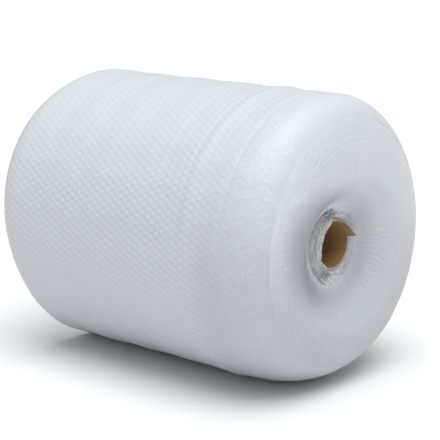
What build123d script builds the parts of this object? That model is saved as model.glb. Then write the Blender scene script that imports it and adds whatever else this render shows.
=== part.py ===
from build123d import *
import os
from math import cos, pi, radians, sin

# A roll of bubble film wound on a paperboard tube, lying on its side.
# Millimetres. The roll's axis runs along X with the torn tube end at +X, Z is up, and the origin is on the
# floor under the middle of the roll.

os.makedirs("parts", exist_ok=True)

# Paperboard tube
core_bore = 76.0              # inside diameter, the usual three-inch core
core_wall = 5.0
core_length = 500.0

# Torn tongue that stands out of the tube's +X end
tongue_height = 13.0          # how far its tip stands past the cut end
tongue_thickness = 2.0        # only the inner plies tore free
tongue_start = 20.0           # degrees from straight up towards +Y, where the tear leaves the cut end
tongue_end = 88.0             # degrees, where it stops at a straight edge

# Wound film
roll_radius = 240.0           # axis to the outermost turn at its tail
film_overhang = 45.0          # how far the film stands past the tube at each end
film_turn = 3.8               # what one turn of film and bubbles adds to the radius
winding_gap = 0.1             # radial gap between the tube and the first turn
core_reveal = 2.0             # how much of the tube's outside shows at each end
tail_angle = -35.0            # degrees above +Y, where the film's cut end lies
flat_depth = 4.0              # how far the soft roll has settled where it rests

# Shape of the ends: a rounded shoulder, a crown that stands out furthest, and a funnel down to the tube
near_crown_radius = 105.0
near_shoulder_length = 109.0
far_crown_radius = 154.0
far_shoulder_length = 62.0
shoulder_fullness = 2.3       # 2 is an ellipse, more is squarer
shoulder_points = 8
funnel_slope = 0.3            # radial fall per unit of axial run where the funnel meets the tube
envelope_margin = 0.5         # the end shape is turned this much outside the last turn

# Worked out
core_radius = core_bore / 2
core_outer_radius = core_radius + core_wall
film_inner_radius = core_outer_radius + winding_gap
half_core = core_length / 2
half_roll = half_core + film_overhang
axis_height = roll_radius - flat_depth


def lift(solid):
    """Raises a shape modelled about the roll's axis to its height above the floor."""
    return Pos(0, 0, axis_height) * solid


def shoulder(side, crown_radius, length):
    """Points of a rounded shoulder in the X-radius plane, from the outermost turn to the crown."""
    outer = roll_radius + envelope_margin
    points = []
    for step in range(shoulder_points + 1):
        turn = pi / 2 * step / shoulder_points
        run = sin(turn) ** (2 / shoulder_fullness)
        drop = 1 - max(cos(turn), 0) ** (2 / shoulder_fullness)
        x = side * (half_roll - length + length * run)
        points.append((x, outer - (outer - crown_radius) * drop))
    return points


def end_curves(side, crown_radius, length):
    """The shoulder and the funnel of one end, as two splines in the X-radius plane."""
    points = shoulder(side, crown_radius, length)
    round_over = Spline(*points, tangents=[(side, 0), (0, -1)])
    lip = (side * (half_core - core_reveal), film_inner_radius)
    funnel = Spline(points[-1], lip, tangents=[(0, -1), (-side, -funnel_slope)])
    return [round_over, funnel]


def turned_envelope():
    """The film turned about the roll's axis: both ends, the side and the bore."""
    near = end_curves(1, near_crown_radius, near_shoulder_length)
    far = end_curves(-1, far_crown_radius, far_shoulder_length)
    side_line = Line(far[0] @ 0, near[0] @ 0)
    bore_line = Line(far[1] @ 1, near[1] @ 1)
    face = make_face([side_line, bore_line, *near, *far])
    return revolve(face, axis=Axis.X)


def spiral_point(fraction):
    """A point of the outermost turn, a fraction of a turn back from the tail."""
    angle = radians(tail_angle + 360 * fraction)
    radius = roll_radius - film_turn * fraction
    return (radius * cos(angle), radius * sin(angle))


def spiral_prism():
    """The outermost turn's true outline, with the step at the tail, longer than the roll."""
    arcs = []
    for quarter in range(4):
        start, middle, end = (spiral_point((quarter + part) / 4) for part in (0, 0.5, 1))
        arcs.append(ThreePointArc(start, middle, end))
    tail_step = Line(spiral_point(1), spiral_point(0))
    outline = make_face([*arcs, tail_step])
    return extrude(Plane.YZ * outline, amount=half_roll + 1, both=True)


def floor_block():
    """Everything below the flat that the roll rests on."""
    size = 4 * roll_radius + 4 * half_roll
    return Pos(0, 0, -axis_height - size / 2) * Box(size, size, size)


def film_roll():
    wound = turned_envelope() & spiral_prism()
    return lift(wound - floor_block())


def torn_tongue():
    """A sliver of the tube's inner plies, from nothing at its start to full height at its straight edge."""
    middle = (tongue_start + tongue_end) / 2
    half_width = (core_radius + tongue_thickness) * sin(radians((tongue_end - tongue_start) / 2))
    ring = extrude(Plane.YZ * Circle(core_radius + tongue_thickness), amount=tongue_height)
    ring -= extrude(Plane.YZ * Circle(core_radius), amount=tongue_height)
    tear = Polygon((0, -half_width), (0, half_width), (tongue_height, half_width), align=None)
    wedge = extrude(tear, amount=core_outer_radius)
    return Pos(half_core, 0, 0) * (ring & (Rot(X=-middle) * wedge))


def core_tube():
    tube = extrude(Plane.YZ * Circle(core_outer_radius), amount=half_core, both=True)
    tube -= extrude(Plane.YZ * Circle(core_radius), amount=half_core, both=True)
    return lift(tube + torn_tongue())


def write(name, solid):
    solid.label = name
    export_step(solid, f"parts/{name}.step")


write("core_tube", core_tube())
write("film_roll", film_roll())
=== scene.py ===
from math import cos, pi, radians, sin, sqrt

import bpy
import numpy as np
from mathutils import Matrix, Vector


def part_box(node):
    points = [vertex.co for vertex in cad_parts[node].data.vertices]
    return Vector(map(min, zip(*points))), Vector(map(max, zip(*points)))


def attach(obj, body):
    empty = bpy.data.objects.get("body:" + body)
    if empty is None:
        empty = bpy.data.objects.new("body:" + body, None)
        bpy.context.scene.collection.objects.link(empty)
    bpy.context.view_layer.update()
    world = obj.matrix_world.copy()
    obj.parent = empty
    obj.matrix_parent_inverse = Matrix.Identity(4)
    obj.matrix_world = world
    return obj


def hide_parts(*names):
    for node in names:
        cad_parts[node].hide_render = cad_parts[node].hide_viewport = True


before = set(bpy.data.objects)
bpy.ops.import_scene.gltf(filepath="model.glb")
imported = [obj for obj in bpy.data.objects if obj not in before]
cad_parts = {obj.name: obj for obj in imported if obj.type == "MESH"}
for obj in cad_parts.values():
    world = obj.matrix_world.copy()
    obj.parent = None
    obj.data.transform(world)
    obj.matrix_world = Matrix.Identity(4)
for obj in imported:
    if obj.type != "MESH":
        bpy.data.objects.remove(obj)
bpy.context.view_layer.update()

# ---- Outermost turn of bubble film --------------------------------------------------------------------
# The last turn of one long web of clear polyethylene bubble film. Round air cells in a hexagonal grid
# stand outwards. It is only wound on, and its edges are drawn in over the roll's soft ends.
tube_low, tube_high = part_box("core_tube")
core_length = 0.500
roll_radius = 0.240
full_turn = 2 * pi
turn_length = full_turn * roll_radius
axis_x = 0.0126
axis_z = (tube_low[2] + tube_high[2]) / 2
height_scale = 1.013
cells_around = 122
cell_pitch = turn_length / cells_around
column_step = cell_pitch * sqrt(3) / 2
bubble_radius = 0.41 * cell_pitch
bubble_height = 0.0006
film_turn = 0.0038
tail_turn = radians(-35)
tail_lap = 0.030
web_start = -0.045
web_end = 0.548
settled_depth = 0.0016

# The roll's outline at an angle: 0 is +Y and a quarter turn is up. Its lengths are shares of the radius.
half_length = 1.1765
far_rim = 1.1265
rim_length = far_rim * roll_radius
far_face_share = 0.834
film_inset = 0.002
tube_near = (tube_low[0] + core_length - film_inset - axis_x) / roll_radius
tube_far = (tube_low[0] + film_inset - axis_x) / roll_radius
lip_share = 0.0431 / roll_radius
collar_share = 0.16
outline_angles = 244
table_step = 0.002
table_start = -0.25
table_end = 0.92


def eased(t):
    """Turns an even run from 0 to 1 into one that starts and ends softly."""
    return t * t * (3 - 2 * t)


def outline(angle):
    """Points (x, radius) from the far tube end to the near tube end, and the far rim's index."""
    side, up = cos(angle), sin(angle)
    shoulder_run = 0.453 - 0.175 * up - 0.008 * side
    shoulder_drop = 0.50 + 0.050 * up - 0.09 * ((1 + side) / 2) ** 2 - 0.12 * ((1 - side) / 2) ** 4
    lean = min(0.163 * side - 0.144 * up, 0.04)
    rim_place = far_rim - 0.09 * max(side, 0) ** 0.9
    points = []
    for step in range(17):
        t = step / 16
        radius = lip_share + (far_face_share * 0.55 - lip_share) * t
        rise = max(t - collar_share, 0) / (1 - collar_share)
        plane = -half_length + lean * radius
        points.append((tube_far + (plane - tube_far) * eased(rise), radius))
    for step in range(1, 9):
        radius = far_face_share * (0.55 + 0.45 * step / 8)
        points.append((-half_length + lean * radius, radius))
    for step in range(1, 13):
        t = pi / 2 * (1 - step / 12)
        s, c = sin(t) ** 1.25, max(cos(t), 0) ** 1.25
        radius = 1 - (1 - far_face_share) * (1 - c)
        points.append((-rim_place - (half_length - rim_place) * s + s * lean * radius, radius))
    rim = len(points) - 1
    run_start = half_length - shoulder_run
    for step in range(1, 31):
        points.append((-rim_place + (run_start + rim_place) * step / 30, 1.0))
    fullness = 2 / 2.33
    for step in range(1, 31):
        t = pi / 2 * step / 30
        s, c = sin(t) ** fullness, max(cos(t), 0) ** fullness
        points.append((run_start + shoulder_run * s, 1 - shoulder_drop * (1 - c)))
    crown = 1 - shoulder_drop
    for step in range(1, 21):
        t = step / 20
        radius = crown + (lip_share - crown) * t
        fall = min(t / (1 - collar_share), 1)
        fall = 0.5 * fall ** 1.5 + 0.5 * eased(fall)
        points.append((half_length + (tube_near - half_length) * fall, radius))
    return np.array(points) * roll_radius, rim


# Each outline is measured along its own length from the far rim, so that film can be laid on by its length.
lengths = np.arange(table_start, table_end, table_step)
table = np.zeros((outline_angles + 1, len(lengths), 2))
far_end_length = np.zeros(outline_angles + 1)
near_end_length = np.zeros(outline_angles + 1)
for index in range(outline_angles + 1):
    points, rim = outline(full_turn * index / outline_angles)
    run = np.concatenate([[0], np.cumsum(np.hypot(*np.diff(points, axis=0).T))])
    run -= run[rim] - points[rim, 0] - rim_length
    far_end_length[index], near_end_length[index] = run[0], run[-1]
    for part in range(2):
        table[index, :, part] = np.interp(lengths, run, points[:, part])


def look_up(grid, length, angle):
    """Reads a table at a length and an angle, blending between its rows."""
    row = np.mod(angle / full_turn, 1) * outline_angles
    row_low = np.floor(row).astype(int)
    across = (row - row_low)[:, None]
    column = np.clip((length - table_start) / table_step, 0, len(lengths) - 1.001)
    column_low = np.floor(column).astype(int)
    along = (column - column_low)[:, None]
    low = grid[row_low, column_low] * (1 - along) + grid[row_low, column_low + 1] * along
    high = grid[row_low + 1, column_low] * (1 - along) + grid[row_low + 1, column_low + 1] * along
    return low * (1 - across) + high * across


def lay_on_roll(length, angle, height):
    """The place of film points, given by length from the far rim, angle and height off the roll."""
    here = look_up(table, length, angle)
    reach = 0.003
    slope = look_up(table, length + reach, angle) - look_up(table, length - reach, angle)
    slope /= np.maximum(np.hypot(slope[:, 0], slope[:, 1]), 1e-9)[:, None]
    x = here[:, 0] - slope[:, 1] * height
    radius = here[:, 1] + slope[:, 0] * height
    place = np.stack([x + axis_x, radius * np.cos(angle), axis_z + height_scale * radius * np.sin(angle)], 1)
    floor_gap = 0.004
    low = place[:, 2] < floor_gap
    place[low, 2] = floor_gap * np.exp((place[low, 2] - floor_gap) / floor_gap)
    return place


def smooth_noise(u, v, scale, seed, period):
    """Soft noise from -1 to 1 that repeats after the period in v, so that it closes round the roll."""
    rows, cells = 256, max(3, int(round(period / scale)))
    grid = np.random.default_rng(seed).uniform(-1, 1, (rows, cells))
    a, b = u / scale + 100, v / period * cells
    a_low, b_low = np.floor(a).astype(int), np.floor(b).astype(int)
    a_part, b_part = a - a_low, b - b_low
    a_part, b_part = eased(a_part), eased(b_part)
    a_low, a_high = a_low % rows, (a_low + 1) % rows
    b_low, b_high = b_low % cells, (b_low + 1) % cells
    low = grid[a_low, b_low] * (1 - a_part) + grid[a_high, b_low] * a_part
    high = grid[a_low, b_high] * (1 - a_part) + grid[a_high, b_high] * a_part
    return low * (1 - b_part) + high * b_part


def crumple(u, v, scale, seed, period):
    """Sharp-ridged folds from -1 to 1, like handled film."""
    first = 1 - 2 * np.abs(smooth_noise(u, v, scale, seed, period))
    second = 1 - 2 * np.abs(smooth_noise(u, v, scale * 0.55, seed + 1, period))
    return 0.6 * first + 0.4 * second


def ramp(value, start, end):
    """0 before start, 1 after end, and smooth between."""
    return eased(np.clip((value - start) / (end - start), 0, 1))


# The creases that winding drew into the film all round: place from the far rim, width and depth. Those with
# a negative depth stand up.
tension_creases = ((0.103, 0.0045, 0.0010), (0.118, 0.010, -0.0014), (-0.063, 0.0040, 0.0006),
                   (-0.141, 0.0030, -0.0006), (0.038, 0.0040, -0.0007), (0.190, 0.0050, 0.0010))


def roll_waves(length, angle):
    """The unevenness of the wound roll under the film: tension creases, ripples and soft dents."""
    v = angle * roll_radius
    x = length - rim_length + 0.003 * smooth_noise(length, v, 0.3, 3, turn_length)
    wave = np.zeros(len(x))
    for middle, width, depth in tension_creases:
        wave -= depth * np.exp(-((x - middle) / width) ** 2)
    wave += 0.0008 * np.sin(full_turn * x / 0.090 + 0.8) * ramp(x, -0.27, -0.19) * (1 - ramp(x, 0.16, 0.23))
    ripples = ramp(x, 0.00, 0.06) * (1 - ramp(x, 0.19, 0.23))
    ripples *= 0.5 + 0.5 * smooth_noise(length, v, 0.15, 9, turn_length)
    wave += 0.0004 * ripples * np.sin(full_turn * x / 0.019)
    wave += 0.0014 * smooth_noise(length, v, 0.12, 5, turn_length)
    wave += 0.0006 * smooth_noise(length, v, 0.035, 7, turn_length)
    return wave


def settled_share(length):
    """How far the film lies settled on the wound ends: 1 at the web's two edges, 0 between them."""
    at_near_end = ramp(length, web_end - 0.09, web_end - 0.01)
    at_far_end = 1 - ramp(length, web_start, web_start + 0.05)
    return np.maximum(at_near_end, at_far_end)


def settled_height(length, angle):
    """The height of settled film, which the wound ends carry on from."""
    return 0.4 * roll_waves(length, angle) - settled_depth


def taut(angle):
    """Where the film is drawn taut over the ends, above the torn tube: 1 there, 0 on the far side."""
    return ramp(np.cos(angle - radians(50)), -0.2, 0.7)


def smooth_below(angle):
    """Where the roll's own weight keeps the film smooth: 1 below, 0 above."""
    return ramp(-np.sin(angle), 0.1, 0.8)


def crushed_edge(length, angle):
    """How far the film's near edge is gathered and crumpled: 0 where it lies taut, 1 where it is crushed."""
    gathered = ramp(length - rim_length + 0.02 * np.sin(angle), 0.105, 0.240)
    return gathered * (1 - 0.65 * taut(angle)) * (1 - 0.5 * smooth_below(angle))


def pressed_flat(length, angle):
    """Where the roll has lain on its side and its bubbles are pressed nearly flat."""
    turn = np.mod(angle, full_turn)
    low_side = ramp(turn, radians(184), radians(206)) * (1 - ramp(turn, radians(300), radians(340)))
    return low_side * (0.35 + 0.65 * (1 - ramp(length - rim_length, -0.12, 0.10)))


def select_none():
    """Nothing stays selected, so that the next operator acts on its own piece only."""
    bpy.ops.object.select_all(action="DESELECT")


def select_only(piece):
    """The one piece is selected and active, so that the next operator acts on it."""
    select_none()
    piece.select_set(True)
    bpy.context.view_layer.objects.active = piece


def mesh_points(piece):
    """All the piece's points, one row each."""
    points = np.zeros(len(piece.data.vertices) * 3)
    piece.data.vertices.foreach_get("co", points)
    return points.reshape(-1, 3)


def set_points(piece, points):
    """Moves all the piece's points at once."""
    piece.data.vertices.foreach_set("co", np.ascontiguousarray(points).ravel())
    piece.data.update()


def give_values(piece, name, values):
    """Stores one value at each point, for the material to read."""
    attribute = piece.data.attributes.new(name, "FLOAT", "POINT")
    attribute.data.foreach_set("value", np.ascontiguousarray(values, dtype=np.float32))


def repeat(piece, count, offset):
    """Repeats the piece by a fixed step and joins the copies where they meet."""
    array = piece.modifiers.new("repeat", "ARRAY")
    array.count = count
    array.use_relative_offset = False
    array.use_constant_offset = True
    array.constant_offset_displace = offset
    array.use_merge_vertices = True
    array.merge_threshold = 1e-5
    bpy.ops.object.modifier_apply(modifier=array.name)


def cut_off(place, direction):
    """Cuts the active film straight across and drops what lies past the cut."""
    bpy.ops.object.mode_set(mode="EDIT")
    bpy.ops.mesh.select_all(action="SELECT")
    bpy.ops.mesh.bisect(plane_co=place, plane_no=direction, clear_outer=True)
    bpy.ops.object.mode_set(mode="OBJECT")


def bubble_cell():
    """One six-sided cell of flat film with a round bubble blown in its middle, heights as shares of one."""
    crown_share = 0.88
    select_none()
    bpy.ops.mesh.primitive_circle_add(vertices=12, radius=bubble_radius, fill_type="NGON")
    cell = bpy.context.object
    bpy.ops.object.mode_set(mode="EDIT")
    bpy.ops.mesh.select_mode(type="VERT")
    bpy.ops.mesh.select_all(action="SELECT")
    bpy.ops.mesh.inset(thickness=bubble_radius * 0.31)
    bpy.ops.transform.translate(value=(0, 0, crown_share))
    bpy.ops.mesh.poke(offset=1 - crown_share)
    bpy.ops.mesh.primitive_circle_add(vertices=6, radius=cell_pitch / sqrt(3), rotation=(0, 0, pi / 6))
    bpy.ops.mesh.select_all(action="DESELECT")
    bpy.ops.mesh.select_non_manifold()
    bpy.ops.mesh.bridge_edge_loops()
    bpy.ops.mesh.select_all(action="SELECT")
    bpy.ops.mesh.normals_make_consistent(inside=False)
    bpy.ops.object.mode_set(mode="OBJECT")
    return cell


columns = int((web_end - web_start) / column_step) + 3
sheet = bubble_cell()
sheet.name = "outer_turn_far"
repeat(sheet, cells_around + 5, (0, cell_pitch, 0))
repeat(sheet, 2, (column_step, cell_pitch / 2, 0))
repeat(sheet, (columns + 1) // 2, (2 * column_step, 0, 0))
first_cut = column_step / 2
tail_cut = cell_pitch * 0.75
cut_off((first_cut, 0, 0), (-1, 0, 0))
cut_off((first_cut + web_end - web_start, 0, 0), (1, 0, 0))
cut_off((0, tail_cut, 0), (0, -1, 0))
cut_off((0, tail_cut + turn_length + tail_lap, 0), (0, 1, 0))

flat = mesh_points(sheet)
length = flat[:, 0] - first_cut + web_start
wrap = flat[:, 1] - tail_cut
angle = tail_turn + wrap / roll_radius
around = angle * roll_radius
column_index = np.round(flat[:, 0] / column_step).astype(int)
row_index = np.round(flat[:, 1] / cell_pitch - (column_index % 2) / 2).astype(int)
chance = np.random.default_rng(11).uniform(0, 1, (columns + 4, cells_around + 8))[column_index, row_index]
crushed = crushed_edge(length, angle)
pressed = pressed_flat(length, angle)
# 1 on the top of the roll: the bubbles stand lower there, and the colour is lighter there as painted light.
upper_side = ramp(np.sin(angle), 0.2, 0.9)
fill = (0.9 + 0.2 * chance) * (1 - 0.5 * crushed * (0.4 + chance)) * (1 - 0.85 * pressed) * (1 - 0.4 * upper_side)
fading = ramp(length, web_end - 0.16, web_end - 0.03)
relief_and_light = flat[:, 2] * fill * (1 - 0.6 * fading)
settled = settled_share(length)
height = film_turn * (0.5 - wrap / turn_length) * (1 - settled) - settled_depth + bubble_height * relief_and_light
height += roll_waves(length, angle) * (1 - 0.6 * settled)
height += crushed * (1 - 0.6 * settled) * 0.0008 * crumple(length, around, 0.014, 21, turn_length)
height -= 0.0030 * (1 - ramp(wrap, 0, 0.0015))
at_edge = 1 - ramp(np.minimum(web_end - length, length - web_start), 0, 0.012)
lifted = np.maximum(smooth_noise(length, around, 0.07, 27, turn_length), 0)
height += at_edge * (settled_height(length, angle) + 0.0001 + 0.0004 * lifted - height)
set_points(sheet, lay_on_roll(length, angle, height))
# Painted light and shade: bubbles lighter than their gaps, and one diagonal family of rows lighter, as light
# from one side picks it out.
row_wave = full_turn / sqrt(3) / cell_pitch
row_ridge = 0.5 + 0.5 * np.cos(row_wave * flat[:, 0] - row_wave * sqrt(3) * flat[:, 1])
row_ridge *= (1 - 0.6 * pressed) * (1 - 0.4 * crushed) * (1 - 0.7 * fading) * (1 - 0.5 * upper_side)
# Painted light: the colour is lighter on the top and on the underside near the floor. It is also lighter
# towards the near edge, where the bubbles fade.
underside = ramp(-np.sin(angle), 0.6, 0.95)
give_values(sheet, "relief_and_light", 0.32 * relief_and_light + 0.48 * row_ridge + 0.3 * fading + 0.2 * upper_side + 0.6 * underside)
# Painted light and shade along the creases: the crushed value there sets painted glints, and the
# painted_shade value darkens the creases where the glints are patchy.
crease = np.zeros(len(length))
for middle in (-0.141, -0.063, 0.038, 0.108, 0.190):
    crease += np.exp(-((length - rim_length - middle) / 0.004) ** 2)
crease = np.minimum(crease, 1)
patchy = np.clip(0.4 + smooth_noise(length, around, 0.05, 25, turn_length), 0, 1)
give_values(sheet, "crushed", np.maximum(crushed, 0.5 * patchy * crease))
# Painted shade: darker on the lower side towards the near end.
shaded = ramp(length - rim_length, 0.10, 0.18) * ramp(-np.sin(angle), -0.5, 0.15)
give_values(sheet, "painted_shade", 0.03 * crease * (1 - patchy) + 0.18 * shaded)
give_values(sheet, "around", around)
give_values(sheet, "along", length)
bpy.ops.object.shade_smooth()


def wrinkle_group():
    """Fine wrinkles of thin film, flecks and a soft cloudiness, over the whole roll."""
    group = bpy.data.node_groups.new("film_wrinkles", "ShaderNodeTree")
    for name in ("Wrinkle Scale", "Fleck Scale", "Cloud Scale"):
        group.interface.new_socket(name, in_out="INPUT", socket_type="NodeSocketFloat")
    for name in ("Wrinkles", "Flecks", "Clouds"):
        group.interface.new_socket(name, in_out="OUTPUT", socket_type="NodeSocketFloat")
    nodes, links = group.nodes, group.links
    inputs, outputs = nodes.new("NodeGroupInput"), nodes.new("NodeGroupOutput")
    place = nodes.new("ShaderNodeTexCoord")
    wrinkles = nodes.new("ShaderNodeTexNoise")
    wrinkles.noise_type = "RIDGED_MULTIFRACTAL"
    wrinkles.inputs["Detail"].default_value = 3
    flecks = nodes.new("ShaderNodeTexNoise")
    flecks.inputs["Detail"].default_value = 1
    clouds = nodes.new("ShaderNodeTexNoise")
    clouds.inputs["Detail"].default_value = 2
    for texture, name in ((wrinkles, "Wrinkle"), (flecks, "Fleck"), (clouds, "Cloud")):
        links.new(place.outputs["Object"], texture.inputs["Vector"])
        links.new(inputs.outputs[name + " Scale"], texture.inputs["Scale"])
        links.new(texture.outputs["Fac"], outputs.inputs[name + "s"])
    return group


film_wrinkles = wrinkle_group()


def math_node(tree, kind, first, second):
    """One sum worked on two values; each is a number or another node's output."""
    node = tree.nodes.new("ShaderNodeMath")
    node.operation = kind
    for socket, value in zip(node.inputs, (first, second)):
        if isinstance(value, (int, float)):
            socket.default_value = value
        else:
            tree.links.new(value, socket)
    return node.outputs[0]


def colour_mix(tree, factor, first, second):
    """Blends two colours; each is a colour or another node's output."""
    mix = tree.nodes.new("ShaderNodeMix")
    mix.data_type = "RGBA"
    for name, colour in (("A", first), ("B", second)):
        if isinstance(colour, tuple):
            mix.inputs[name].default_value = (*colour, 1)
        else:
            tree.links.new(colour, mix.inputs[name])
    tree.links.new(factor, mix.inputs["Factor"])
    return mix.outputs["Result"]


def stored_value(tree, name):
    """A value that give_values stored on the mesh."""
    node = tree.nodes.new("ShaderNodeAttribute")
    node.attribute_name = name
    return node.outputs["Fac"]


def stored_relief_and_light(tree):
    """How far the film stands up, with painted light and shade added, as stored on the mesh."""
    return stored_value(tree, "relief_and_light")


def film_material(name, gap_colour, bubble_colour, painted_shade_colour, clearness, pattern=stored_relief_and_light):
    """Milky clear film: painted light on what stands up and painted shade in its gaps, painted glints and
    specks where crushed, and painted shade from the stored painted_shade value.
    """
    material = bpy.data.materials.new(name)
    material.use_nodes = True
    tree = material.node_tree
    nodes, links = tree.nodes, tree.links
    shader = nodes["Principled BSDF"]
    relief_and_light, crushed, painted_shade = pattern(tree), stored_value(tree, "crushed"), stored_value(tree, "painted_shade")
    wrinkles = nodes.new("ShaderNodeGroup")
    wrinkles.node_tree = film_wrinkles
    wrinkles.inputs["Wrinkle Scale"].default_value = 190
    wrinkles.inputs["Fleck Scale"].default_value = 520
    wrinkles.inputs["Cloud Scale"].default_value = 30
    # Painted light and shade: the stored relief value, which also carries painted light, makes the colour
    # lighter on bubbles and ridges.
    tone = math_node(tree, "MULTIPLY", relief_and_light, 0.5)
    tone = math_node(tree, "ADD", tone, math_node(tree, "MULTIPLY", wrinkles.outputs["Clouds"], 0.4))
    # Painted specks of light and shade where the film is crushed.
    fleck = math_node(tree, "MULTIPLY", math_node(tree, "SUBTRACT", wrinkles.outputs["Flecks"], 0.46), 3.2)
    tone = math_node(tree, "ADD", tone, math_node(tree, "MULTIPLY", fleck, crushed))
    colour = colour_mix(tree, tone, gap_colour, bubble_colour)
    # Painted shade: the stored painted_shade value darkens the colour towards the shade colour.
    colour = colour_mix(tree, painted_shade, colour, painted_shade_colour)
    # Painted glints: bright specks, in clusters, mixed in where the film is crushed.
    painted_glint = math_node(tree, "MULTIPLY", math_node(tree, "SUBTRACT", wrinkles.outputs["Flecks"], 0.56), 3.4)
    painted_glint = math_node(tree, "MULTIPLY", math_node(tree, "MAXIMUM", painted_glint, 0.0), crushed)
    cluster = math_node(tree, "MULTIPLY", math_node(tree, "SUBTRACT", wrinkles.outputs["Clouds"], 0.40), 5.0)
    cluster = math_node(tree, "MINIMUM", math_node(tree, "MAXIMUM", cluster, 0.15), 1.0)
    painted_glint = math_node(tree, "MULTIPLY", painted_glint, cluster)
    colour = colour_mix(tree, painted_glint, colour, (0.93, 0.95, 0.97))
    links.new(colour, shader.inputs["Base Color"])
    if clearness:
        cover = math_node(tree, "MULTIPLY", relief_and_light, clearness / 2)
        links.new(math_node(tree, "ADD", cover, 1 - clearness), shader.inputs["Alpha"])
    bump = nodes.new("ShaderNodeBump")
    bump.inputs["Distance"].default_value = 0.0010
    links.new(math_node(tree, "MULTIPLY", crushed, 0.55), bump.inputs["Strength"])
    links.new(wrinkles.outputs["Wrinkles"], bump.inputs["Height"])
    links.new(bump.outputs["Normal"], shader.inputs["Normal"])
    shader.inputs["Roughness"].default_value = 0.46
    shader.inputs["IOR"].default_value = 1.5
    return material


# Painted shade: the dark grey that the film is darkened towards in funnels, creases and on the lower side.
painted_shade_grey = (0.26, 0.275, 0.295)
bubble_film = film_material("bubble_film", (0.642, 0.667, 0.690), (0.686, 0.711, 0.734), painted_shade_grey, 0.2)
sheet.data.materials.append(bubble_film)


def split_off(piece, name, from_length):
    """Makes a piece of its own of the film past a length, cut between two columns of bubbles."""
    select_only(piece)
    values = np.zeros(len(piece.data.vertices), dtype=np.float32)
    piece.data.attributes["along"].data.foreach_get("value", values)
    past = values > from_length
    bpy.ops.object.mode_set(mode="EDIT")
    bpy.ops.mesh.select_mode(type="FACE")
    bpy.ops.mesh.select_all(action="DESELECT")
    bpy.ops.object.mode_set(mode="OBJECT")
    for polygon in piece.data.polygons:
        polygon.select = bool(past[list(polygon.vertices)].all())
    bpy.ops.object.mode_set(mode="EDIT")
    bpy.ops.mesh.separate(type="SELECTED")
    bpy.ops.object.mode_set(mode="OBJECT")
    other = [each for each in bpy.context.selected_objects if each is not piece][0]
    other.name = name
    return other


middle = split_off(sheet, "outer_turn_middle", rim_length - 0.063)
near = split_off(middle, "outer_turn_near", rim_length + 0.103)
for piece in (sheet, middle, near):
    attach(piece, "root")
    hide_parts("film_roll")

# ---- Turn below the outermost one ---------------------------------------------------------------------
# The next turn of the same film, seen through the outer one. Its bubbles lie out of step with those
# above and are only painted on, as painted light and shade. All the turns under it make it milky, and its
# colour is lighter still as painted light, to make up for the shade that the outer turn casts on it.
cells_below = 120
below_depth = 0.0032


def cell_pattern_group():
    """Round bubbles in a hexagonal grid, from the film's own length and way round: 1 on a bubble."""
    group = bpy.data.node_groups.new("cell_pattern", "ShaderNodeTree")
    group.interface.new_socket("Along", in_out="INPUT", socket_type="NodeSocketFloat")
    group.interface.new_socket("Around", in_out="INPUT", socket_type="NodeSocketFloat")
    group.interface.new_socket("Bubble", in_out="OUTPUT", socket_type="NodeSocketFloat")
    nodes, links = group.nodes, group.links
    inputs, outputs = nodes.new("NodeGroupInput"), nodes.new("NodeGroupOutput")
    wave = 2 * full_turn / sqrt(3) / cell_pitch
    total = 1.5
    for direction in (0, pi / 3, -pi / 3):
        along = math_node(group, "MULTIPLY", inputs.outputs["Along"], wave * cos(direction))
        around = math_node(group, "MULTIPLY", inputs.outputs["Around"], wave * sin(direction))
        crest = math_node(group, "COSINE", math_node(group, "ADD", along, around), 0)
        total = math_node(group, "ADD", crest, total)
    links.new(math_node(group, "DIVIDE", total, 4.5), outputs.inputs["Bubble"])
    return group


cell_pattern = cell_pattern_group()


def bubbles_below(tree):
    """The cell pattern, read from the stored length and way round."""
    cells = tree.nodes.new("ShaderNodeGroup")
    cells.node_tree = cell_pattern
    tree.links.new(stored_value(tree, "along"), cells.inputs["Along"])
    tree.links.new(stored_value(tree, "around"), cells.inputs["Around"])
    return cells.outputs["Bubble"]


# Painted light and shade: each bubble of the cell pattern is lighter than its gaps, on a colour kept light to
# make up for the outer turn's shade.
film_below = film_material("film_below", (0.73, 0.76, 0.79), (0.82, 0.845, 0.87), painted_shade_grey, 0,
                           bubbles_below)

select_none()
bpy.ops.mesh.primitive_grid_add(x_subdivisions=150, y_subdivisions=360, size=2)
below = bpy.context.object
below.name = "turn_below"
flat = mesh_points(below)
length = web_start + 0.004 + (web_end - web_start - 0.006) * (flat[:, 0] + 1) / 2
wrap = (flat[:, 1] + 1) / 2 * turn_length
angle = tail_turn + wrap / roll_radius
settled = settled_share(length)
height = film_turn * (0.5 - wrap / turn_length) * (1 - settled) - below_depth
height += roll_waves(length, angle) * (1 - 0.6 * settled)
set_points(below, lay_on_roll(length, angle, height))
give_values(below, "along", length + 0.4 * cell_pitch)
give_values(below, "around", (angle * roll_radius) * cells_below / cells_around)
give_values(below, "crushed", 0.8 * crushed_edge(length, angle))
bpy.ops.object.shade_smooth()
below.data.materials.append(film_below)
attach(below, "root")
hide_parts("film_roll")

# ---- Wound ends of the film ---------------------------------------------------------------------------
# The edges of all the turns below the last one, packed side by side. They bulge out past the tube and
# dip into a funnel at each tube end.
dashes_around = 66
edge_steps = 5
edge_step_height = 0.0004
near_tuck = 0.012
far_tuck = 0.010


def place_parts(tree):
    """The parts of a point's place: along the roll, across it, and up from its axis."""
    place = tree.nodes.new("ShaderNodeTexCoord")
    parts = tree.nodes.new("ShaderNodeSeparateXYZ")
    tree.links.new(place.outputs["Object"], parts.inputs["Vector"])
    return parts.outputs["X"], parts.outputs["Y"], math_node(tree, "SUBTRACT", parts.outputs["Z"], axis_z)


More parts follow.
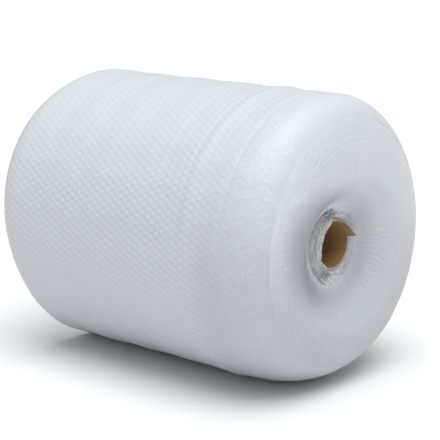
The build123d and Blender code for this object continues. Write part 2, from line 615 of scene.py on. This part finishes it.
def packed_edges(tree):
    """The uneven packed edges, with the short dashes that rows of crushed bubbles make near the tube."""
    across, upwards = place_parts(tree)[1:]
    turn = math_node(tree, "MULTIPLY", math_node(tree, "ARCTAN2", upwards, across), dashes_around)
    wave = math_node(tree, "SINE", math_node(tree, "ADD", turn, stored_value(tree, "shift")), 0)
    dashes = math_node(tree, "MULTIPLY", wave, stored_value(tree, "rows"))
    return math_node(tree, "ADD", stored_relief_and_light(tree), dashes)


# Painted shade: the packed ends are darkened towards this dark grey round the tube's mouth and on the lower
# side.
packed_film = film_material("packed_film", (0.562, 0.585, 0.607), (0.656, 0.679, 0.701),
                            (0.20, 0.21, 0.225), 0, packed_edges)


def at_angle(values, angle):
    """Reads a value given for each outline angle."""
    row = np.clip(angle / full_turn * outline_angles, 0, outline_angles - 0.001)
    low = np.floor(row).astype(int)
    return values[low] * (1 - row + low) + values[low + 1] * (row - low)


def tongue_side(angle):
    """Where the ends face the torn tongue's side: 1 there, 0 behind the tube."""
    return ramp(np.cos(angle + radians(5)), 0.2, 0.9)


def close_seams():
    """Welds the active mesh where its edges meet and turns its faces outwards."""
    bpy.ops.object.mode_set(mode="EDIT")
    bpy.ops.mesh.select_all(action="SELECT")
    bpy.ops.mesh.remove_doubles(threshold=1e-6)
    bpy.ops.mesh.normals_make_consistent(inside=False)
    bpy.ops.object.mode_set(mode="OBJECT")


def turn_edges(name, start, end, rings, seed, web_first, shade_widening):
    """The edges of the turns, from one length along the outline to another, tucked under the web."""
    select_none()
    bpy.ops.mesh.primitive_grid_add(x_subdivisions=rings, y_subdivisions=256, size=2)
    face = bpy.context.object
    face.name = name
    flat = mesh_points(face)
    share = (flat[:, 0] + 1) / 2
    angle = (flat[:, 1] + 1) * pi
    length = at_angle(start, angle) * (1 - share) + at_angle(end, angle) * share
    radius = look_up(table, length, angle)[:, 1]
    turns = radius / film_turn + angle / full_turn
    whole = np.floor(turns)
    patch = 0.5 + 0.5 * smooth_noise(radius / 0.08, angle, 1.0, seed, full_turn)
    ridge = np.abs(np.sin(pi * (turns - whole)))
    loose = np.random.default_rng(seed).uniform(0, 1, 400)[whole.astype(int)]
    cells = np.cos(np.round(full_turn * radius / cell_pitch) * angle + 9 * loose)
    under_web = np.abs(length - at_angle(start if web_first else end, angle))
    tuck = near_tuck if web_first else far_tuck
    height = 0.0003 * patch * ridge + 0.0005 * (loose - 0.5) * patch
    height += 0.00035 * cells * ridge * patch
    height += 0.0010 * smooth_noise(radius / 0.06, angle * 2, 1.0, seed + 2, 2 * full_turn)
    loose_side = 1 - 0.7 * taut(angle)
    outer = ramp(radius, 0.50 * roll_radius, 0.80 * roll_radius)
    outer *= loose_side * (1 - 0.5 * smooth_below(angle))
    inner = 1 - ramp(radius, 0.060, 0.090)
    v = angle * 0.12
    height += 0.0012 * (outer + 1.3 * inner) * crumple(radius, v, 0.012, seed + 4, full_turn * 0.12)
    height *= ramp(under_web, tuck, tuck + 0.030)
    height += settled_height(length, angle) - 0.0006 * (1 - ramp(under_web, tuck - 0.006, tuck))
    for number in range(edge_steps):
        film_edge = 0.020 + 0.008 * number
        film_edge = film_edge + 0.006 * smooth_noise(0 * angle, angle, 0.5, seed + 20 + number, full_turn)
        height -= edge_step_height * loose_side * ramp(under_web, film_edge, film_edge + 0.0012)
    set_points(face, lay_on_roll(length, angle, height))
    # Painted shade: a dark halo round the tube's mouth, wider on one side, a darker lower half, and a darker
    # ring near the tube on the torn tongue's side.
    wide_shade_side = shade_widening * (0.5 - 0.5 * np.cos(angle + radians(8))) ** 4
    painted_shade = 1 - ramp(radius, 0.042 + 0.093 * wide_shade_side, 0.100 + 0.110 * wide_shade_side)
    painted_shade *= (0.46 + 0.26 * wide_shade_side) * ramp(radius, 0.060, 0.088)
    low_half = ramp(-radius * np.sin(angle), -0.06, 0.10) * ramp(radius, 0.055, 0.08)
    painted_shade += (1 - painted_shade) * 0.28 * low_half
    painted_shade += (1 - painted_shade) * 0.30 * tongue_side(angle) * (1 - ramp(radius, 0.060, 0.098))
    rows = ramp(radius, 0.064, 0.084) * (1 - ramp(radius, 0.098, 0.128))
    rows *= 0.1 + 0.9 * ramp(np.cos(angle + radians(32)), 0.3, 0.9)
    rows *= 0.5 + 0.5 * smooth_noise(radius / 0.010, angle * 8, 1.0, seed + 8, 8 * full_turn)
    give_values(face, "rows", 1.3 * rows)
    give_values(face, "shift", 4 * smooth_noise(radius / 0.012, angle * 6, 1.0, seed + 9, 6 * full_turn))
    # Painted light along the ridges of the turn edges, with their relief; the crushed value sets painted
    # glints on the loose, crumpled ends.
    give_values(face, "relief_and_light", 0.55 + (0.2 + 0.4 * cells) * ridge * patch)
    give_values(face, "crushed", np.clip(0.72 * outer + 0.5 * inner, 0, 1))
    give_values(face, "painted_shade", painted_shade)
    close_seams()
    bpy.ops.object.shade_smooth()
    face.data.materials.append(packed_film)
    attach(face, "root")
    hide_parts("film_roll")


every_angle = np.ones(outline_angles + 1)
turn_edges("near_turn_edges", (web_end - near_tuck) * every_angle, near_end_length, 260, 31, True, 1.0)
turn_edges("far_turn_edges", far_end_length, (web_start + far_tuck) * every_angle, 200, 41, False, 0.4)

# ---- Loose film at the tube's ends --------------------------------------------------------------------
# Nothing holds the first few turns, so their edges stand up and curl over in clear, crinkled ruffles
# round the tube. They hide the tube's rim on one side.
ruffles = 7
ruffle_film = 0.0002
first_ruffle_radius = 0.0436
first_ruffle_rise = 0.013
ruffle_gap = 0.0026
# Painted light and shade: the ruffles' very light colours stand in partly for light shining through the film,
# and they darken towards the grey shade colour.
clear_film = film_material("clear_film", (0.78, 0.79, 0.80), (1.0, 1.0, 1.0), (0.40, 0.41, 0.43), 0.3)
nodes, links = clear_film.node_tree.nodes, clear_film.node_tree.links
nodes["Principled BSDF"].inputs["Roughness"].default_value = 0.14
through = nodes.new("ShaderNodeBsdfTranslucent")
through.inputs["Color"].default_value = (0.95, 0.96, 0.97, 1)
both = nodes.new("ShaderNodeMixShader")
both.inputs["Fac"].default_value = 0.3
links.new(nodes["Principled BSDF"].outputs["BSDF"], both.inputs[1])
links.new(through.outputs["BSDF"], both.inputs[2])
links.new(both.outputs["Shader"], nodes["Material Output"].inputs["Surface"])


def ruffle(name, end, foot_radius, rise, spread, seed):
    """One loose film edge: a wavy ribbon that stands out of the funnel and curls away from the tube."""
    select_none()
    bpy.ops.mesh.primitive_grid_add(x_subdivisions=7, y_subdivisions=320, size=2)
    ribbon = bpy.context.object
    ribbon.name = name
    flat = mesh_points(ribbon)
    share = (flat[:, 0] + 1) / 2
    angle = (flat[:, 1] + 1) * pi
    swing = smooth_noise(share * 0.8, angle, 0.22, seed, full_turn)
    flutter = smooth_noise(share * 1.2, angle, 0.06, seed + 1, full_turn)
    tall_side = ramp(-np.cos(angle + radians(5)), -0.3, 0.8)
    tall = rise * (0.35 + 0.65 * tall_side)
    tall *= 1 + 0.25 * smooth_noise(0 * share, angle, 0.3, seed + 2, full_turn)
    radius = foot_radius + spread * share ** 2 * (1 - 0.5 * tall_side) - 0.0035 * share * tall_side
    radius += share * (0.0016 * swing + 0.0011 * flutter)
    mouth = (tube_near if end > 0 else tube_far) * roll_radius + axis_x
    x = mouth + end * (-0.004 + tall * share * (1.35 - 0.35 * share) + 0.0008 * share * flutter)
    set_points(ribbon, np.stack([x, radius * np.cos(angle), axis_z + radius * np.sin(angle)], 1))
    # Painted light: lighter towards the ribbon's top edge, and lighter and darker along with its flutter.
    # Painted shade: darker on the low side and on the torn tongue's side. The crushed value sets painted
    # glints, more on the tall side.
    give_values(ribbon, "relief_and_light", 0.7 + 1.4 * flutter + 0.5 * (share - 0.5))
    give_values(ribbon, "crushed", 0.15 + 0.3 * tall_side)
    give_values(ribbon, "painted_shade", 0.30 * (1 - tall_side) * (1 - 0.4 * share) + 0.40 * tongue_side(angle))
    close_seams()
    thickness = ribbon.modifiers.new("film", "SOLIDIFY")
    thickness.thickness = ruffle_film
    thickness.offset = 0
    bpy.ops.object.modifier_apply(modifier=thickness.name)
    bpy.ops.object.shade_smooth()
    ribbon.data.materials.append(clear_film)
    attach(ribbon, "root")
    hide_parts("film_roll")


for end, side_name in ((1, "near"), (-1, "far")):
    for number in range(ruffles):
        ruffle(f"{side_name}_ruffle_{number + 1}", end, first_ruffle_radius + ruffle_gap * number,
               first_ruffle_rise - 0.0008 * number, 0.005 + 0.0006 * number, 50 + 10 * number + end)

# ---- Paperboard tube ----------------------------------------------------------------------------------
# A spiral-wound tube of brown paperboard that the film is wound on. Its cut ends show the pale edges of
# the plies. At the near end a strip of the inner plies is torn loose and bent outwards.
bore_radius = 0.038
tube_radius = 0.043
tube_end = tube_low[0] + core_length
tube_middle = tube_low[0] + core_length / 2
seam_advance = 0.110
tongue_start, tongue_end = radians(11), radians(72)
tongue_height = tube_high[0] - tube_end
tongue_flare = 0.0045
tongue_thickness = 0.0016
tongue_root = 0.004
board_rounding = 0.0004


def kraft_material(name, paper_colour, edge_colour):
    """Brown paperboard: fibres, mottling and the spiral seams of its plies, paler on a torn or cut edge."""
    material = bpy.data.materials.new(name)
    material.use_nodes = True
    tree = material.node_tree
    nodes, links = tree.nodes, tree.links
    shader = nodes["Principled BSDF"]
    lengthways, across, upwards = place_parts(tree)
    turn = math_node(tree, "DIVIDE", math_node(tree, "ARCTAN2", across, upwards), full_turn)
    wound = math_node(tree, "ADD", turn, math_node(tree, "DIVIDE", lengthways, seam_advance))
    seam = math_node(tree, "LESS_THAN", math_node(tree, "FRACT", wound, 0), 0.012)
    place = nodes.new("ShaderNodeTexCoord")
    stretch = nodes.new("ShaderNodeMapping")
    stretch.inputs["Scale"].default_value = (60, 500, 500)
    links.new(place.outputs["Object"], stretch.inputs["Vector"])
    fibres = nodes.new("ShaderNodeTexNoise")
    fibres.inputs["Scale"].default_value = 1
    fibres.inputs["Detail"].default_value = 4
    links.new(stretch.outputs["Vector"], fibres.inputs["Vector"])
    mottle = nodes.new("ShaderNodeTexNoise")
    mottle.inputs["Scale"].default_value = 45
    links.new(place.outputs["Object"], mottle.inputs["Vector"])
    tone = math_node(tree, "ADD", math_node(tree, "MULTIPLY", fibres.outputs["Fac"], 0.7),
                     math_node(tree, "MULTIPLY", mottle.outputs["Fac"], 0.6))
    tone = math_node(tree, "SUBTRACT", tone, math_node(tree, "MULTIPLY", seam, 0.3))
    dark = tuple(0.62 * part for part in paper_colour)
    colour = colour_mix(tree, tone, dark, tuple(1.3 * part for part in paper_colour))
    colour = colour_mix(tree, stored_value(tree, "cut"), colour, edge_colour)
    links.new(colour, shader.inputs["Base Color"])
    bump = nodes.new("ShaderNodeBump")
    bump.inputs["Distance"].default_value = 0.0003
    bump.inputs["Strength"].default_value = 0.5
    links.new(tone, bump.inputs["Height"])
    links.new(bump.outputs["Normal"], shader.inputs["Normal"])
    shader.inputs["Roughness"].default_value = 0.82
    return material


kraft = kraft_material("kraft_board", (0.285, 0.162, 0.056), (0.34, 0.30, 0.25))

select_none()
bpy.ops.mesh.primitive_cylinder_add(vertices=160, radius=tube_radius, depth=core_length,
                                    end_fill_type="NOTHING", location=(tube_middle, 0, axis_z),
                                    rotation=(0, pi / 2, 0))
tube = bpy.context.object
tube.name = "paper_tube"
bpy.ops.object.transform_apply(location=True, rotation=True, scale=True)
bpy.ops.object.mode_set(mode="EDIT")
bpy.ops.mesh.select_all(action="SELECT")
bpy.ops.mesh.subdivide(number_cuts=3)
bpy.ops.mesh.normals_make_consistent(inside=False)
bpy.ops.object.mode_set(mode="OBJECT")
wall = tube.modifiers.new("wall", "SOLIDIFY")
wall.thickness = tube_radius - bore_radius
wall.offset = -1
rounding = tube.modifiers.new("rounding", "BEVEL")
rounding.width = board_rounding
rounding.segments = 2
rounding.limit_method = "ANGLE"
bpy.ops.object.modifier_apply(modifier=wall.name)
bpy.ops.object.modifier_apply(modifier=rounding.name)
points = mesh_points(tube)
radius = np.hypot(points[:, 1], points[:, 2] - axis_z)
at_end = ramp(np.abs(points[:, 0] - tube_middle) - core_length / 2, -0.0007, -0.0003)
give_values(tube, "cut", at_end * ramp(radius, bore_radius - 0.0001, bore_radius + 0.0005))
bpy.ops.object.shade_smooth_by_angle(angle=radians(50))

select_none()
bpy.ops.mesh.primitive_grid_add(x_subdivisions=14, y_subdivisions=120, size=2)
tongue = bpy.context.object
tongue.name = "torn_plies"
flat = mesh_points(tongue)
share = (flat[:, 0] + 1) / 2
along = (flat[:, 1] + 1) / 2
angle = tongue_start + (tongue_end - tongue_start) * along
ragged = smooth_noise(0 * along, along, 0.05, 71, 1.0) + 0.6 * smooth_noise(0 * along, along, 0.02, 72, 1.0)
torn_height = tongue_height * (1 - along) ** 0.8 * (1 + 0.10 * ragged * ramp(along, 0, 0.1)) + 0.0006
out = torn_height * share / tongue_height
radius = bore_radius + 0.0010 + tongue_flare * out ** 2 + 0.0004 * ragged * share
sag = 0.0015 * share * smooth_noise(share * 0.3, along, 0.25, 73, 1.0)
radius += sag
points = np.stack([tube_end - tongue_root * (1 - share) + torn_height * share, radius * np.cos(angle),
                   axis_z + radius * np.sin(angle)], 1)
set_points(tongue, points)
give_values(tongue, "cut", 0.3 + 0.5 * ramp(share, 0.93, 1.0))
close_seams()
plies = tongue.modifiers.new("plies", "SOLIDIFY")
plies.thickness = tongue_thickness
plies.offset = 0
bpy.ops.object.modifier_apply(modifier=plies.name)
bpy.ops.object.shade_smooth_by_angle(angle=radians(50))
for piece in (tube, tongue):
    piece.data.materials.append(kraft)
    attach(piece, "root")
    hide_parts("core_tube")

# ---- Floor, light and camera --------------------------------------------------------------------------
# The roll lies on its side on a plain pale floor, under one broad soft light and an even white studio.
# The camera looks at the near end and the roll's side from a little above.
select_none()
bpy.ops.mesh.primitive_plane_add(size=60, location=(0, 0, -0.0005))
floor = bpy.context.object
floor.name = "floor"
paint = bpy.data.materials.new("pale_floor")
paint.use_nodes = True
paint.node_tree.nodes["Principled BSDF"].inputs["Base Color"].default_value = (0.82, 0.82, 0.82, 1)
paint.node_tree.nodes["Principled BSDF"].inputs["Roughness"].default_value = 0.9
floor.data.materials.append(paint)

world = bpy.data.worlds.new("studio")
bpy.context.scene.world = world
world.use_nodes = True
nodes, links = world.node_tree.nodes, world.node_tree.links
nodes["Background"].inputs["Color"].default_value = (0.93, 0.96, 1.0, 1)
nodes["Background"].inputs["Strength"].default_value = 0.46
backdrop = nodes.new("ShaderNodeBackground")
backdrop.inputs["Color"].default_value = (1, 1, 1, 1)
backdrop.inputs["Strength"].default_value = 1.1
choice = nodes.new("ShaderNodeMixShader")
path = nodes.new("ShaderNodeLightPath")
links.new(path.outputs["Is Camera Ray"], choice.inputs["Fac"])
links.new(nodes["Background"].outputs["Background"], choice.inputs[1])
links.new(backdrop.outputs["Background"], choice.inputs[2])
links.new(choice.outputs["Shader"], nodes["World Output"].inputs["Surface"])
bpy.context.scene.view_settings.view_transform = "Standard"

sun = bpy.data.lights.new("overhead_light", "SUN")
sun.energy = 2.93
sun.angle = radians(55)
lamp = bpy.data.objects.new("overhead_light", sun)
lamp.rotation_euler = (radians(6), radians(11), 0)
bpy.context.collection.objects.link(lamp)

camera_data = bpy.data.cameras.new("camera")
camera = bpy.data.objects.new("camera", camera_data)
bpy.context.collection.objects.link(camera)
camera_turn, camera_rise, camera_distance = radians(-49.86), radians(13.18), 2.4718
towards = Vector((cos(camera_rise) * cos(camera_turn), cos(camera_rise) * sin(camera_turn), sin(camera_rise)))
camera.location = Vector((axis_x, 0, axis_z)) + towards * camera_distance
camera.rotation_euler = (-towards).to_track_quat("-Z", "Y").to_euler()
camera_data.lens = 117.65
camera_data.sensor_width = 36
camera_data.shift_x = -0.0028
camera_data.shift_y = 0.0066
camera_data.clip_end = 50
bpy.context.scene.camera = camera
